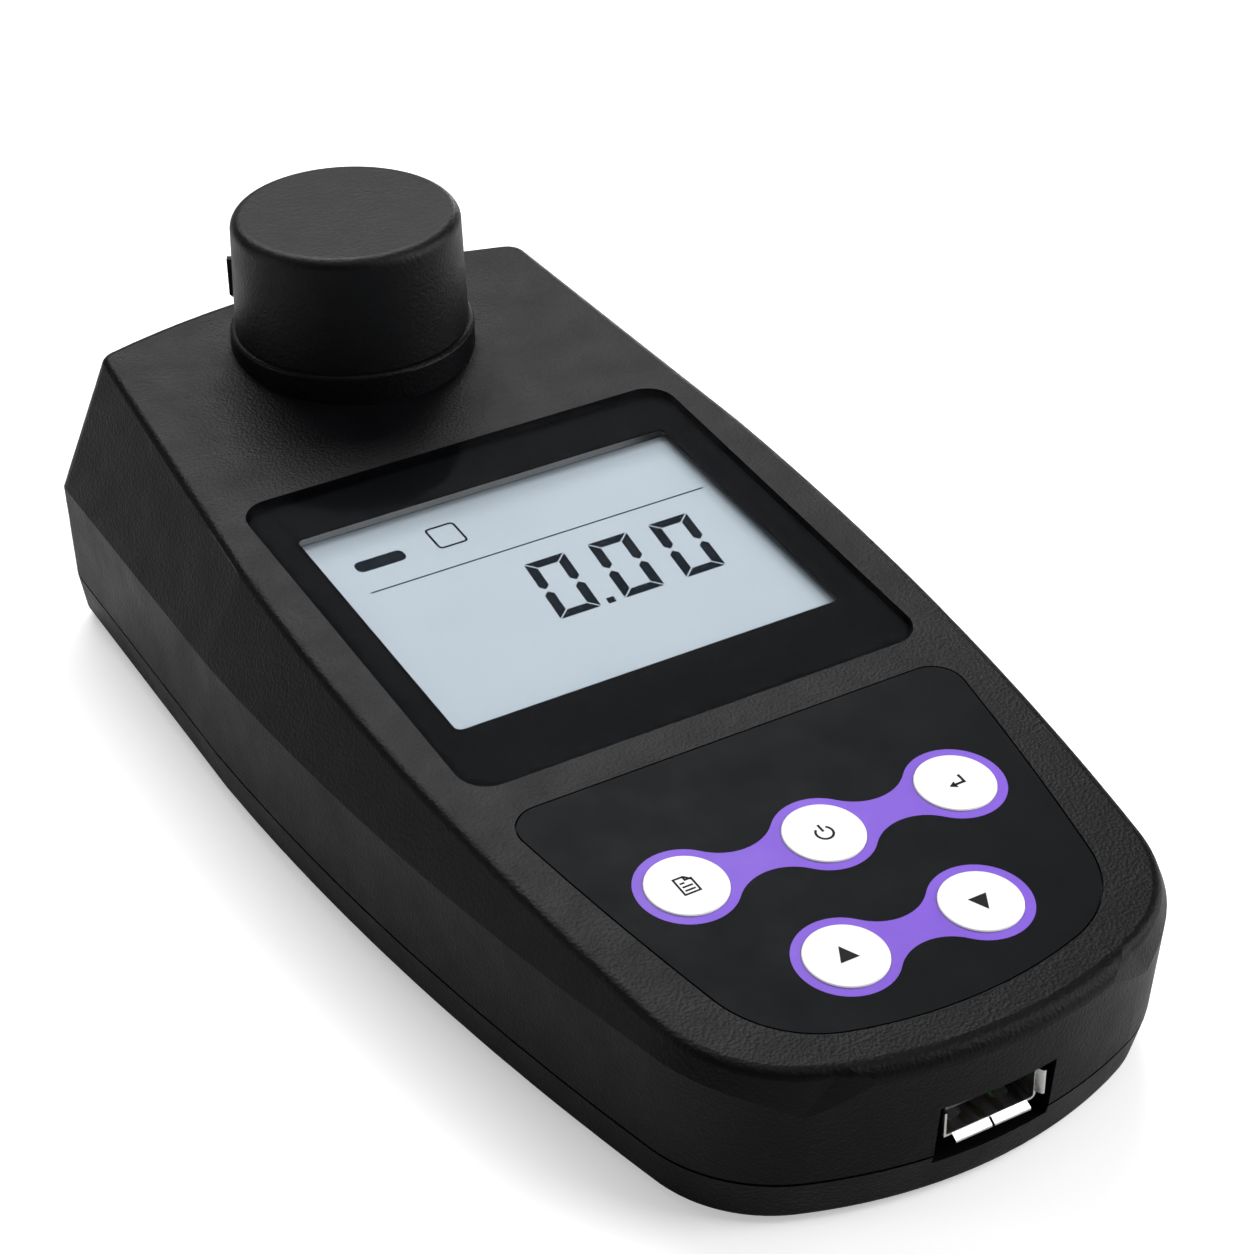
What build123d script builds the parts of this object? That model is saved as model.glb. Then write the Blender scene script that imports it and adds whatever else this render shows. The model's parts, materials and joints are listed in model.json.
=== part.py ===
from build123d import *
import math
import os

# Portable turbidity meter. Millimetres, +Z up, +Y from the socket end to the well end.
# The origin is on the surface that the feet stand on, in the middle of the plan.

# Case in plan, at the crease where it is widest
body_length = 180.0
body_width = 90.0
widest_y = 27.0
front_narrowing = 23.4
back_narrowing = 3.4
front_arc_radius = 64.0
back_arc_radius = 128.0
front_corner_radius = 21.0
back_corner_radius = 4.5
least_corner_radius = 0.8

# Case in height
foot_stand = 1.0
seam_z = 7.5
crease_z = 22.6
front_top_z = 24.0
deck_slope = 5.4
side_draft = 1.5
front_draft = 6.0
base_side_draft = 8.7
base_front_draft = 14.5
facet_lean = 27.0
back_lean = 4.7
front_edge_radius = 2.2
deck_edge_radius = 1.4
base_edge_radius = 1.0
front_relief = 1.0
form_top_z = 50.0

# Walls and general fits
wall = 2.2
floor_thickness = 2.0
seam_gap = 0.4
lip_height = 1.5
lip_thickness = 1.1
lip_clearance = 0.1
seat_gap = 0.05
slip = 0.1
panel_gap = 0.22

# Display window, on the deck
window_width = 66.6
window_length = 66.2
window_v = 6.5
window_corner = 4.0
window_thickness = 1.2
window_chamfer = 0.3
mask_thickness = 0.15
view_width = 57.4
view_length = 45.2
view_v = 8.4
view_corner = 1.0

# Display stack under the window
aperture_margin = 1.2
lcd_gap = 0.2
lcd_thickness = 2.8
lcd_margin = 1.8
lcd_corner = 0.3
lcd_frame_rim = 1.5
backlight_thickness = 2.0
zebra_width = 2.0
zebra_thickness = 1.4
zebra_inset = 0.4
main_board_depth = 9.0
main_board_width = 65.0
main_board_front = -28.0
main_board_back = 40.5
board_thickness = 1.6
board_boss_radius = 2.5
board_screw_radius = 0.9
board_screw_head = 1.9
board_screw_head_height = 1.3
board_screw_grip = 4.0
main_boss_x = 29.3
main_boss_front = -24.4
main_boss_back = 37.4

# Packages on the main board: place, then width, length and height
chip_sizes = {
    (-16.0, 31.0): (10.0, 10.0, 1.4),
    (4.0, 31.5): (7.0, 5.0, 1.2),
    (18.0, 31.0): (5.0, 6.4, 1.6),
    (-14.0, -19.0): (8.0, 5.0, 1.6),
    (0.0, -20.0): (5.0, 4.0, 1.2),
    (14.0, -19.0): (6.0, 6.0, 3.0),
}
can_places = ((22.0, -21.0), (-24.0, -21.0))
can_radius = 2.0
can_height = 4.5

# Keypad
keypad_side_margin = 8.6
keypad_front_margin = 6.2
keypad_window_gap = 5.8
keypad_top_corner = 4.0
overlay_thickness = 0.6
key_row_from_front = 37.0
key_row_spacing = 19.3
lower_row_drop = 18.7
lower_key_x = 9.5
key_radius = 5.15
key_clearance = 0.15
key_proud = 0.25
key_edge = 0.12
key_flange_radius = 6.1
key_flange_thickness = 0.5
key_travel = 0.4
key_stem_radius = 1.6
key_pocket_clearance = 0.5
dome_height = 0.5
dome_radius = 3.2
dome_idle_gap = 0.45
key_stem_length = 1.9
keypad_board_thickness = 1.2
keypad_board_half_width = 25.5
keypad_board_neck_half_width = 18.5
keypad_board_neck_drop = 9.0
keypad_board_drop = 27.0
keypad_board_rise = 12.0
keypad_boss_x = 19.4
keypad_boss_rise = 9.2
keypad_front_boss_drop = 9.6

# Sample well, collar and cap
well_from_back = 19.5
vial_diameter = 24.0
vial_height = 52.0
vial_head_room = 1.1
vial_clearance = 0.3
well_floor_z = 4.6
well_wall = 2.7
spigot_top_z = 48.5
collar_radius = 17.8
collar_top_z = 42.2
collar_edge_radius = 0.6
cap_top_radius = 16.5
cap_rim_radius = 17.0
cap_bore_clearance = 0.3
cap_roof = 1.8
cap_edge_radius = 1.7
cap_inner_edge = 1.0
cap_rib_height = 6.0
cap_rib_width = 1.1
cap_rib_proud = 0.4
cap_rib_angle = 152.0
cap_rib_bottom = 4.5
cap_wall_bite = 1.0

# Optics round the well
beam_z = 26.0
light_port_radius = 1.9
port_lip = 0.9
well_bite = 0.5
spigot_edge = 0.5
lead_end = 0.6
optic_barrel_radius = 4.2
optic_barrel_length = 6.0
lamp_radius = 2.5
lamp_clearance = 0.05
lamp_flange_radius = 2.9
lamp_flange_thickness = 1.0
lead_radius = 0.25
lead_pitch = 2.54
optic_board_gap = 1.5
optic_board_thickness = 1.2
optic_board_width = 15.0
optic_board_height = 11.0
ear_radius = 4.0
ear_thickness = 2.5
ear_z = 28.0
ear_distance = 19.5
ear_angles = (-45.0, 25.0, 155.0, 225.0)
chamber_screw_radius = 1.2
chamber_screw_head = 2.2
chamber_screw_head_height = 1.6
chamber_screw_grip = 3.0

# Housing screws
case_screw_front_x = 26.3
case_screw_back_x = 32.0
case_screw_from_front = 21.0
case_screw_from_back = 32.0
case_split_z = 16.0
case_boss_radius = 3.6
case_screw_radius = 1.45
case_screw_head = 2.75
case_screw_head_height = 2.0
case_screw_seat_z = 4.2
case_screw_grip = 5.0
case_screw_clearance = 0.3
thread_clearance = 0.03
screw_tip_room = 0.3
recess_reach = 0.6
recess_width = 0.5

# Socket in the front
socket_z = 11.9
socket_width = 13.1
socket_height = 5.7
socket_sheet = 0.3
socket_length = 14.0
socket_setback = 1.6
socket_corner = 0.7
socket_opening_width = 16.3
socket_opening_bottom = 6.2
socket_opening_top = 15.3
flare_length = 1.1
flare_angle = 32.0
flare_corner_gap = 1.25
flare_side_gap = 1.1
flare_split = 0.35
tongue_width = 11.1
tongue_thickness = 1.9
tongue_drop = 0.9
tongue_setback = 1.0
tongue_block = 3.0
tongue_edge = 0.4
contact_width = 1.1
contact_thickness = 0.2
contact_places = (-3.5, -1.0, 1.0, 3.5)
contact_length = 7.4
contact_setback = 0.9
finger_width = 1.7
finger_length = 5.5
finger_rise = 0.9
finger_x = 3.3
finger_slot = 0.35
finger_start = 2.0
finger_peak = 0.55
finger_root = 0.4
socket_board_width = 22.0
socket_board_length = 20.0
socket_board_thickness = 1.6
socket_post_x = 8.2
socket_post_radius = 2.4
socket_board_room = 1.2
post_floor = 1.2

# Battery bay, cells and door
cell_radius = 7.2
cell_length = 50.5
cell_nub_radius = 2.6
cell_nub_height = 1.0
cell_edge = 0.6
cell_count = 3
cell_pitch = 15.0
cell_underside_z = 3.8
bay_centre_y = 23.5
bay_end_room = 1.9
bay_wall = 1.4
bay_head_room = 0.3
contact_plate_thickness = 0.4
contact_plate_spacing = 2.0
contact_plate_inset = 1.0
spring_radius = 2.6
spring_turns = 2
spring_play = 0.01
spring_widening = 0.35
spring_wire_sides = 6
door_clearance = 0.3
door_thickness = 2.0
door_overlap = 1.4
door_ledge_thickness = 1.0
door_tab_width = 8.0
door_tab_reach = 1.6
door_tab_thickness = 1.0
door_tab_spacing = 24.0
door_corner = 2.0
door_open_angle = 35.0
door_spare_angle = 5.0
latch_width = 12.0
latch_slot = 0.8
latch_reach = 8.0
grip_ribs = 5
grip_rib_pitch = 1.6
grip_rib_depth = 0.35

# Feet
foot_radius = 5.0
foot_recess = 0.8
foot_edge = 0.5
foot_front_x = 23.0
foot_back_x = 31.0
foot_from_front = 40.0
foot_from_back = 15.5

# Cables
ribbon_width = 12.0
ribbon_thickness = 0.3
ribbon_lap = 3.0


# Places that follow from the sizes above
front_end = -body_length / 2
back_end = body_length / 2
well_y = back_end - well_from_back
keypad_top_v = window_v - window_length / 2 - keypad_window_gap
key_row_v = front_end + key_row_from_front
keypad_board_neck_v = key_row_v - keypad_board_neck_drop
keypad_board_front = key_row_v - keypad_board_drop
keypad_board_back = key_row_v + keypad_board_rise
keypad_boss_v = key_row_v + keypad_boss_rise
keypad_front_boss_v = key_row_v - keypad_front_boss_drop


def tan_of(angle):
    return math.tan(math.radians(angle))


def mirrored(x, y):
    return [(x, y), (-x, y)]


case_screw_places = (
    mirrored(case_screw_front_x, front_end + case_screw_from_front)
    + mirrored(case_screw_back_x, back_end - case_screw_from_back)
)
foot_places = (
    mirrored(foot_front_x, front_end + foot_from_front) + mirrored(foot_back_x, back_end - foot_from_back)
)


def deck_z(y):
    return front_top_z + (y - front_end) * tan_of(deck_slope)


deck = Plane(
    origin=(0, 0, deck_z(0)),
    x_dir=(1, 0, 0),
    z_dir=(0, -math.sin(math.radians(deck_slope)), math.cos(math.radians(deck_slope))),
)


def on_deck(u, v, w=0.0):
    """Place on the sloping deck: u across, v up the slope, w out of the surface."""
    return deck.location * Pos(u, v, w)


def rod(radius, height, z=0.0):
    """Upright cylinder that starts at z."""
    return Pos(0, 0, z) * Cylinder(radius, height, align=(Align.CENTER, Align.CENTER, Align.MIN))


def drop_rod(radius, height, top=0.0):
    """Upright cylinder that hangs down from top."""
    return Pos(0, 0, top) * Cylinder(radius, height, align=(Align.CENTER, Align.CENTER, Align.MAX))


def box_between(low, high):
    size = [high[i] - low[i] for i in range(3)]
    middle = [(high[i] + low[i]) / 2 for i in range(3)]
    return Pos(*middle) * Box(*size)


def joined(shapes):
    shapes = list(shapes)
    result = shapes[0]
    for shape in shapes[1:]:
        result = result + shape
    return result


# Plan outline of the case and the solid forms made from it

def plan_outline(side_in=0.0, front_in=0.0, back_in=0.0):
    half = body_width / 2 - side_in
    front_half = (body_width - front_narrowing) / 2 - side_in
    back_half = (body_width - back_narrowing) / 2 - side_in
    front_radius = front_arc_radius - front_in
    back_radius = back_arc_radius - back_in
    front_tip = front_end + front_in
    back_tip = back_end - back_in
    front_y = front_tip + front_radius - math.sqrt(front_radius ** 2 - front_half ** 2)
    back_y = back_tip - back_radius + math.sqrt(back_radius ** 2 - back_half ** 2)
    front = ThreePointArc((-front_half, front_y), (0, front_tip), (front_half, front_y))
    back = ThreePointArc((back_half, back_y), (0, back_tip), (-back_half, back_y))
    right = TangentArc((half, widest_y), (front_half, front_y), tangent=(0, -1))
    right_back = Line((half, widest_y), (back_half, back_y))
    left = mirror(right, Plane.YZ)
    left_back = mirror(right_back, Plane.YZ)
    outline = make_face([front, right, right_back, back, left_back, left])
    front_corner = max(front_corner_radius - front_in, least_corner_radius)
    back_corner = max(back_corner_radius - back_in, least_corner_radius)
    outline = fillet(outline.vertices().sort_by(Axis.Y)[:2], front_corner)
    return fillet(outline.vertices().sort_by(Axis.Y)[-2:], back_corner)


def drafted_outline(z, inset):
    """Section below the crease, where the walls lean outward as they rise."""
    below = crease_z - z
    side_in = below * tan_of(side_draft) + inset
    front_in = below * tan_of(front_draft) + inset
    return plan_outline(side_in, front_in, side_in)


def faceted_outline(z, inset):
    """Section above the crease, where the side facets lean inward as they rise."""
    above = z - crease_z
    side_in = above * tan_of(facet_lean) + inset
    back_in = above * tan_of(back_lean) + inset
    return plan_outline(side_in, inset - front_relief, back_in)


def base_outline(z, inset):
    """Section below the seam, where the walls draw in more."""
    below = seam_z - z
    side_in = seam_side_in() + below * tan_of(base_side_draft) + inset
    front_in = seam_front_in() + below * tan_of(base_front_draft) + inset
    return plan_outline(side_in, front_in, side_in)


def seam_side_in():
    return (crease_z - seam_z) * tan_of(side_draft)


def seam_front_in():
    return (crease_z - seam_z) * tan_of(front_draft)


def between(section, low, high, inset):
    return loft([Pos(0, 0, z) * section(z, inset) for z in (low, high)], ruled=True)


def under_deck(form, inset, edge_radius):
    """Cut a form along the deck plane and round the edge that this makes."""
    above = on_deck(0, 0, -inset) * Box(
        2 * body_width, 2 * body_length, 2 * form_top_z, align=(Align.CENTER, Align.CENTER, Align.MIN)
    )
    cut = form - above
    if edge_radius > inset:
        cut = fillet(cut.faces().sort_by(Axis.Z)[-1].edges(), edge_radius - inset)
    return cut


def upper_form(low, inset=0.0):
    drafted = under_deck(between(drafted_outline, low, form_top_z, inset), inset, front_edge_radius)
    faceted = under_deck(between(faceted_outline, low, form_top_z, inset), inset, deck_edge_radius)
    return drafted & faceted


# Shared cuts

def deck_slab(width, length, corner, v, top, thickness):
    """Plate with rounded corners, parallel to the deck, hanging down from top."""
    return on_deck(0, v, top) * extrude(RectangleRounded(width, length, corner), -thickness)


def keypad_outline(inset=0.0):
    side_in = keypad_side_margin + inset
    front_in = keypad_front_margin + inset
    whole = plan_outline(side_in, front_in)
    behind = Pos(0, keypad_top_v - inset) * Rectangle(
        2 * body_width, 2 * body_length, align=(Align.CENTER, Align.MIN)
    )
    panel = whole - behind
    return fillet(panel.vertices().sort_by(Axis.Y)[-2:], keypad_top_corner - inset)


def keypad_slab(inset, top, thickness):
    return on_deck(0, 0, top) * extrude(keypad_outline(inset), -thickness)


def key_places():
    lower_v = key_row_v - lower_row_drop
    return {
        "key_list": (-key_row_spacing, key_row_v),
        "key_power": (0.0, key_row_v),
        "key_enter": (key_row_spacing, key_row_v),
        "key_up": (-lower_key_x, lower_v),
        "key_down": (lower_key_x, lower_v),
    }


def at_keys(shape):
    return joined(on_deck(u, v) * shape for u, v in key_places().values())


def socket_front_y():
    """Plane of the socket's mouth, set back from the case's front at the socket's height."""
    front_in = (crease_z - socket_z) * tan_of(front_draft)
    return front_end + front_in + socket_setback


def lip_inner_y():
    """Plane behind the seam lip, where the socket's board may begin."""
    lip_in = seam_front_in() + wall + lip_clearance + lip_thickness
    return front_end + lip_in + socket_board_room


def socket_opening():
    return box_between(
        (-socket_opening_width / 2, -body_length, socket_opening_bottom),
        (socket_opening_width / 2, lip_inner_y(), socket_opening_top),
    )


# Depths below the deck, measured along its normal

def mask_underside():
    return window_thickness + mask_thickness


def lcd_top():
    return wall + lcd_gap


def lcd_underside():
    return lcd_top() + lcd_thickness


def overlay_underside():
    return overlay_thickness


def key_flange_underside():
    return overlay_underside() + seat_gap + key_flange_thickness


def key_stem_end():
    return key_flange_underside() + key_stem_length


def keypad_board_top():
    return key_stem_end() + dome_idle_gap + dome_height


def main_boss_places():
    return [(x, v) for x in (-main_boss_x, main_boss_x) for v in (main_boss_front, main_boss_back)]


def keypad_boss_places():
    return [(-keypad_boss_x, keypad_boss_v), (keypad_boss_x, keypad_boss_v), (0.0, keypad_front_boss_v)]


def cap_top_z():
    return well_floor_z + vial_height + vial_head_room + cap_roof


def well_radius():
    return vial_diameter / 2 + vial_clearance


def tube_radius():
    return well_radius() + well_wall


def ear_places():
    return [
        (
            ear_distance * math.cos(math.radians(angle)),
            well_y + ear_distance * math.sin(math.radians(angle)),
        )
        for angle in ear_angles
    ]


# Upper housing

def hanging_boss(x, y, radius, low):
    """Screw boss that runs up into the roof."""
    return Pos(x, y, low) * Cylinder(radius, form_top_z, align=(Align.CENTER, Align.CENTER, Align.MIN))


def upper_bosses():
    case = [hanging_boss(x, y, case_boss_radius, case_split_z) for x, y in case_screw_places]
    ears = [hanging_boss(x, y, ear_radius - slip, ear_z + ear_thickness) for x, y in ear_places()]
    main = [
        on_deck(x, v, -main_board_depth) * rod(board_boss_radius, main_board_depth)
        for x, v in main_boss_places()
    ]
    keypad = [
        on_deck(x, v, -keypad_board_top()) * rod(board_boss_radius, keypad_board_top())
        for x, v in keypad_boss_places()
    ]
    return joined(case + ears + main + keypad) & upper_form(seam_z, wall / 2)


def boss_holes():
    case_pilot = case_screw_radius + thread_clearance
    ear_pilot = chamber_screw_radius + thread_clearance
    board_pilot = board_screw_radius + thread_clearance
    case = [Pos(x, y, case_split_z) * rod(case_pilot, case_screw_grip) for x, y in case_screw_places]
    ears = [
        Pos(x, y, ear_z + ear_thickness) * rod(ear_pilot, chamber_screw_grip) for x, y in ear_places()
    ]
    main = [
        on_deck(x, v, -main_board_depth) * rod(board_pilot, board_screw_grip)
        for x, v in main_boss_places()
    ]
    keypad_grip = keypad_board_top() - wall
    keypad = [
        on_deck(x, v, -keypad_board_top()) * rod(board_pilot, keypad_grip)
        for x, v in keypad_boss_places()
    ]
    return joined(case + ears + main + keypad)


def upper_housing():
    low = seam_z + seam_gap / 2
    shell = upper_form(low) - upper_form(low - wall, wall)
    collar = Pos(0, well_y, 0) * rod(collar_radius, collar_top_z)
    collar = fillet(collar.edges().sort_by(Axis.Z)[-1], collar_edge_radius)
    collar = collar & on_deck(0, 0, -wall / 2) * Box(
        body_length, 2 * body_length, form_top_z, align=(Align.CENTER, Align.CENTER, Align.MIN)
    )
    shell = shell + collar + upper_bosses() - boss_holes()
    shell = shell - Pos(0, well_y, 0) * rod(tube_radius() + slip, form_top_z, ear_z + ear_thickness)
    recess = deck_slab(
        window_width + 2 * panel_gap, window_length + 2 * panel_gap, window_corner + panel_gap,
        window_v, 0, mask_underside(),
    )
    aperture = deck_slab(
        view_width + 2 * aperture_margin, view_length + 2 * aperture_margin, view_corner,
        view_v, 0, 2 * wall,
    )
    panel_recess = keypad_slab(-panel_gap, 0, overlay_thickness)
    pockets = at_keys(drop_rod(key_flange_radius + key_pocket_clearance, 2 * wall))
    return shell - recess - aperture - panel_recess - pockets - socket_opening()


# Lower housing

def bay_length():
    return cell_length + 2 * bay_end_room


def bay_half_width():
    return cell_pitch * cell_count / 2


def bay_ceiling_z():
    return cell_underside_z + 2 * cell_radius + bay_head_room


def bay_box(grow, low, high):
    half_width = bay_half_width() + grow
    half_length = bay_length() / 2 + grow
    return box_between(
        (-half_width, bay_centre_y - half_length, low), (half_width, bay_centre_y + half_length, high)
    )


def door_half_width():
    return bay_half_width() + door_overlap


def door_half_length():
    return bay_length() / 2 + door_overlap


def floor_top_z():
    return foot_stand + floor_thickness


def floor_root_z():
    """Middle of the floor, where what stands on it is rooted."""
    return foot_stand + floor_thickness / 2


def door_hinge_y():
    """Inner edge of the floor in front of the door, which the door's tabs turn on."""
    return bay_centre_y - door_half_length() - door_clearance


def door_hole():
    half_width = door_half_width() + door_clearance
    back = bay_centre_y + door_half_length() + door_clearance
    hole = box_between((-half_width, door_hinge_y(), 0), (half_width, back, door_thickness + foot_stand))
    corners = hole.edges().filter_by(Axis.Z).sort_by(Axis.Y)[-2:]
    return fillet(corners, door_corner + door_clearance)


def tab_places():
    return (-door_tab_spacing / 2, door_tab_spacing / 2)


def tab_slots():
    half = door_tab_width / 2 + door_clearance
    slots = []
    for x in tab_places():
        low = (x - half, door_hinge_y() - door_tab_reach - 2 * door_clearance, floor_top_z())
        high = (x + half, door_hinge_y() + bay_wall + door_overlap, floor_top_z() + 3 * door_tab_thickness)
        slots.append(box_between(low, high))
    return joined(slots)


def battery_bay():
    """Upturned tray over the cells, with a ledge round its mouth that the door closes on."""
    ledge_top = floor_top_z() + door_ledge_thickness
    walls = bay_box(bay_wall, floor_root_z(), bay_ceiling_z() + bay_wall)
    ledge = bay_box(door_overlap + bay_wall, floor_root_z(), ledge_top)
    return walls + ledge


def upright_block(inset, low, height):
    side_in = seam_side_in() + inset
    outline = plan_outline(side_in, seam_front_in() + inset, side_in)
    return Pos(0, 0, low) * extrude(outline, height)


def seam_lip():
    """Upright ring inside the walls that centres the upper housing and shades the seam."""
    inset = wall + lip_clearance
    low = floor_root_z()
    height = seam_z + lip_height - low
    return upright_block(inset, low, height) - upright_block(inset + lip_thickness, low - 1, height + 2)


def case_posts():
    return joined(
        Pos(x, y, 0) * rod(case_boss_radius, case_split_z - floor_root_z(), floor_root_z())
        for x, y in case_screw_places
    )


def case_post_holes():
    shank = case_screw_radius + case_screw_clearance
    head = case_screw_head + case_screw_clearance
    holes = []
    for x, y in case_screw_places:
        holes.append(Pos(x, y, 0) * rod(shank, case_split_z + 1))
        holes.append(Pos(x, y, 0) * rod(head, case_screw_seat_z))
    return joined(holes)


def socket_board_top():
    return socket_z - socket_height / 2


def socket_board_underside():
    return socket_board_top() - socket_board_thickness


def socket_board_front():
    return lip_inner_y() + slip


def socket_post_places():
    y = socket_board_front() + socket_board_length - 2 * socket_post_radius
    return [(x, y) for x in (-socket_post_x, socket_post_x)]


def socket_supports():
    low = floor_root_z()
    height = socket_board_underside() - low
    posts = [Pos(x, y, low) * rod(socket_post_radius, height) for x, y in socket_post_places()]
    sill_y = socket_board_front() + slip
    sill = box_between(
        (-socket_width / 2, sill_y, low),
        (socket_width / 2, sill_y + bay_wall, socket_board_underside()),
    )
    return joined(posts + [sill])


def socket_screw_grip():
    return socket_board_underside() - floor_root_z() - post_floor


def socket_post_holes():
    pilot = board_screw_radius + thread_clearance
    top = socket_board_underside()
    return joined(Pos(x, y, 0) * drop_rod(pilot, socket_screw_grip(), top) for x, y in socket_post_places())


def well_seat():
    """Ring on the floor that centres the foot of the sample tube."""
    outer = tube_radius() + slip + bay_wall
    ring = rod(outer, well_floor_z - floor_root_z(), floor_root_z())
    return Pos(0, well_y, 0) * (ring - rod(tube_radius() + slip, well_floor_z, floor_top_z()))


def lower_housing():
    high = seam_z - seam_gap / 2
    outer = between(base_outline, foot_stand, high, 0)
    outer = fillet(outer.faces().sort_by(Axis.Z)[0].edges(), base_edge_radius)
    tray = outer - between(base_outline, floor_top_z(), high + 1, wall)
    inside = case_posts() + socket_supports() + battery_bay()
    tray = tray + seam_lip() + inside + well_seat()
    tray = tray - case_post_holes() - socket_post_holes() - socket_opening()
    tray = tray - bay_box(0, 0, bay_ceiling_z()) - door_hole() - tab_slots()
    recesses = joined(Pos(x, y, 0) * rod(foot_radius + slip, foot_stand + foot_recess)
                      for x, y in foot_places)
    return tray - recesses


# Battery door, cells and contacts

def door_plate():
    front = bay_centre_y - door_half_length()
    back = bay_centre_y + door_half_length()
    half = door_half_width()
    top = foot_stand + door_thickness - seat_gap
    plate = box_between((-half, front, foot_stand), (half, back, top))
    return fillet(plate.edges().filter_by(Axis.Z).sort_by(Axis.Y)[-2:], door_corner)


def hinge_bevel():
    """Slope under the door's front edge that lets it turn past the floor's edge."""
    front = bay_centre_y - door_half_length()
    run = door_thickness * tan_of(door_open_angle + door_spare_angle)
    outline = make_face(Polyline(
        (front - door_tab_reach, 0),
        (front + run, 0),
        (front + run, foot_stand),
        (front, foot_stand + door_thickness),
        (front - door_tab_reach, foot_stand + door_thickness),
        close=True,
    ))
    return extrude(Plane.YZ * outline, body_width / 2, both=True)


def door_tab(x):
    """Tab that reaches over the floor in front, on a root that stands on the door."""
    top = foot_stand + door_thickness
    front = bay_centre_y - door_half_length()
    tab_top = top + seat_gap + door_tab_thickness
    left = x - door_tab_width / 2
    right = x + door_tab_width / 2
    reach = front - door_clearance - door_tab_reach
    tab = box_between((left, reach, top + seat_gap), (right, front + bay_wall, tab_top))
    root = box_between((left, front, top - door_tab_thickness), (right, front + bay_wall, tab_top))
    return tab + root


def latch_cuts():
    """Two slots that free the snap latch, and the finger grooves between them."""
    back = bay_centre_y + door_half_length()
    top = foot_stand + door_thickness
    cuts = []
    for side in (-1, 1):
        x = side * latch_width / 2
        low = (x - latch_slot / 2, back - latch_reach, 0)
        cuts.append(box_between(low, (x + latch_slot / 2, back + latch_slot, top)))
    half = latch_width / 2 - latch_slot
    for index in range(grip_ribs):
        y = back - latch_reach + (index + 0.5) * grip_rib_pitch
        cuts.append(box_between((-half, y, 0), (half, y + grip_rib_pitch / 2, foot_stand + grip_rib_depth)))
    return joined(cuts)


def battery_door():
    tabs = joined(door_tab(x) for x in tab_places())
    return door_plate() + tabs - hinge_bevel() - latch_cuts()


def cell_places():
    first = -(cell_count - 1) / 2
    return [(first + index) * cell_pitch for index in range(cell_count)]


def cell_axis_z():
    return cell_underside_z + cell_radius


def along_y(shape):
    """Turn an upright shape so that its top points along +Y."""
    return Rot(-90, 0, 0) * shape


def battery_cells():
    """Round cells side by side, every second one turned end for end."""
    cell = rod(cell_radius, cell_length - cell_nub_height) + rod(cell_nub_radius, cell_length)
    cell = chamfer(cell.edges().filter_by(GeomType.CIRCLE).sort_by(Axis.Z)[0], cell_edge)
    cell = Pos(0, 0, -cell_length / 2) * cell
    cells = []
    for index, x in enumerate(cell_places()):
        turned = along_y(cell) if index % 2 == 0 else Rot(0, 0, 180) * along_y(cell)
        cells.append(Pos(x, bay_centre_y, cell_axis_z()) * turned)
    return Compound(cells)


def contact_plates():
    """Sheet contacts on the two end walls of the bay."""
    plates = []
    width = cell_pitch - contact_plate_spacing
    half_height = cell_radius - contact_plate_inset
    inner = bay_length() / 2
    for x in cell_places():
        for side in (-1, 1):
            wall_y = bay_centre_y + side * inner
            face_y = wall_y - side * contact_plate_thickness
            plates.append(box_between(
                (x - width / 2, min(wall_y, face_y), cell_axis_z() - half_height),
                (x + width / 2, max(wall_y, face_y), cell_axis_z() + half_height),
            ))
    return Compound(plates)


def spring_gap():
    return bay_end_room - contact_plate_thickness


def spring_ring(radius, wire_radius):
    section = Plane.XZ * (Pos(radius, 0) * RegularPolygon(wire_radius, spring_wire_sides))
    return revolve(section, Axis.Z)


def battery_springs():
    """Short coils on the flat end of each cell, one ring for each turn."""
    springs = []
    pitch = spring_gap() / spring_turns
    for index, x in enumerate(cell_places()):
        side = -1 if index % 2 == 0 else 1
        for turn in range(spring_turns):
            offset = cell_length / 2 + (turn + 0.5) * pitch
            ring = spring_ring(spring_radius + turn * spring_widening, pitch / 2 - spring_play)
            springs.append(Pos(x, bay_centre_y + side * offset, cell_axis_z()) * along_y(ring))
    return Compound(springs)


# Cap, sample tube and optics

def light_shield_cap():
    bore = tube_radius() + cap_bore_clearance
    low = collar_top_z + seat_gap
    top = cap_top_z()
    outer = make_face(Polyline(
        (0, low), (cap_rim_radius, low), (cap_top_radius, top), (0, top), close=True
    ))
    inner = make_face(Polyline(
        (0, low - 1), (bore, low - 1), (bore, top - cap_roof), (0, top - cap_roof), close=True
    ))
    solid = revolve(Plane.XZ * outer, Axis.Z)
    solid = fillet(solid.edges().filter_by(GeomType.CIRCLE).sort_by(Axis.Z)[-1], cap_edge_radius)
    hollow = revolve(Plane.XZ * inner, Axis.Z)
    hollow = chamfer(hollow.edges().filter_by(GeomType.CIRCLE).sort_by(Axis.Z)[-1], cap_inner_edge)
    rib_low = low + cap_rib_bottom
    rib = box_between(
        (bore + cap_wall_bite, -cap_rib_width / 2, rib_low),
        (cap_rim_radius + cap_rib_proud, cap_rib_width / 2, rib_low + cap_rib_height),
    )
    rib = chamfer(rib.edges().group_by(Axis.X)[-1].sort_by(Axis.Z)[0], cap_rib_proud)
    return Pos(0, well_y, 0) * (solid + Rot(0, 0, cap_rib_angle) * rib - hollow)


def barrel(radius, start, length):
    """Cylinder out of the tube's side along -Y, before it is turned to its place."""
    return Pos(0, -start, beam_z) * (Rot(90, 0, 0) * rod(radius, length))


def emitter_side(shape):
    return Pos(0, well_y, 0) * (Rot(0, 0, -90) * shape)


def detector_side(shape):
    return Pos(0, well_y, 0) * shape


def lens_depth():
    return well_radius() + port_lip


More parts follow.
